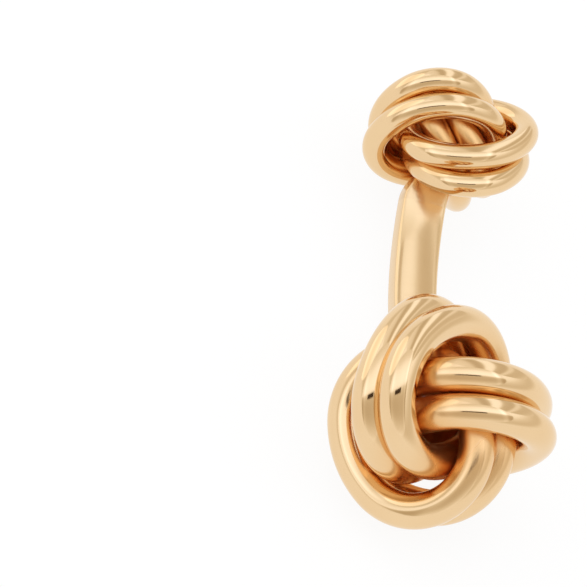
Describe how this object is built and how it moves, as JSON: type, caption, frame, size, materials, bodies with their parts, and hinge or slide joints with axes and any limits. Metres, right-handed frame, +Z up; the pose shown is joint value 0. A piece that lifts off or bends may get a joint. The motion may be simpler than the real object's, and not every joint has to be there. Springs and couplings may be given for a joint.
{
  "type": "cufflink",
  "caption": "Polished gold cufflink with a large and a small knot of interlinked paired wire hoops, soldered to the ends of a short bowed bar.",
  "frame": {"origin": "middle of the cufflink's footprint, on the surface that it lies on", "axes": "+Z up; +X along the cufflink, from the small back knot to the large front knot; the bar bows downward in the XZ plane"},
  "size_m": [0.033, 0.013, 0.0124],
  "materials": {
    "gold_wire": "polished",
    "gold_bar": "polished",
    "gold_solder": "satin"
  },
  "bodies": {
    "root": {"bar": "gold_bar", "large_knot_neck": "gold_solder", "large_knot_hoop_1_front": "gold_wire", "large_knot_hoop_1_back": "gold_wire", "large_knot_hoop_2_front": "gold_wire", "large_knot_hoop_2_back": "gold_wire", "large_knot_hoop_3_front": "gold_wire", "large_knot_hoop_3_back": "gold_wire", "small_knot_neck": "gold_solder", "small_knot_hoop_1_front": "gold_wire", "small_knot_hoop_1_back": "gold_wire", "small_knot_hoop_2_front": "gold_wire", "small_knot_hoop_2_back": "gold_wire", "small_knot_hoop_3_front": "gold_wire", "small_knot_hoop_3_back": "gold_wire"}
  },
  "joints": []
}
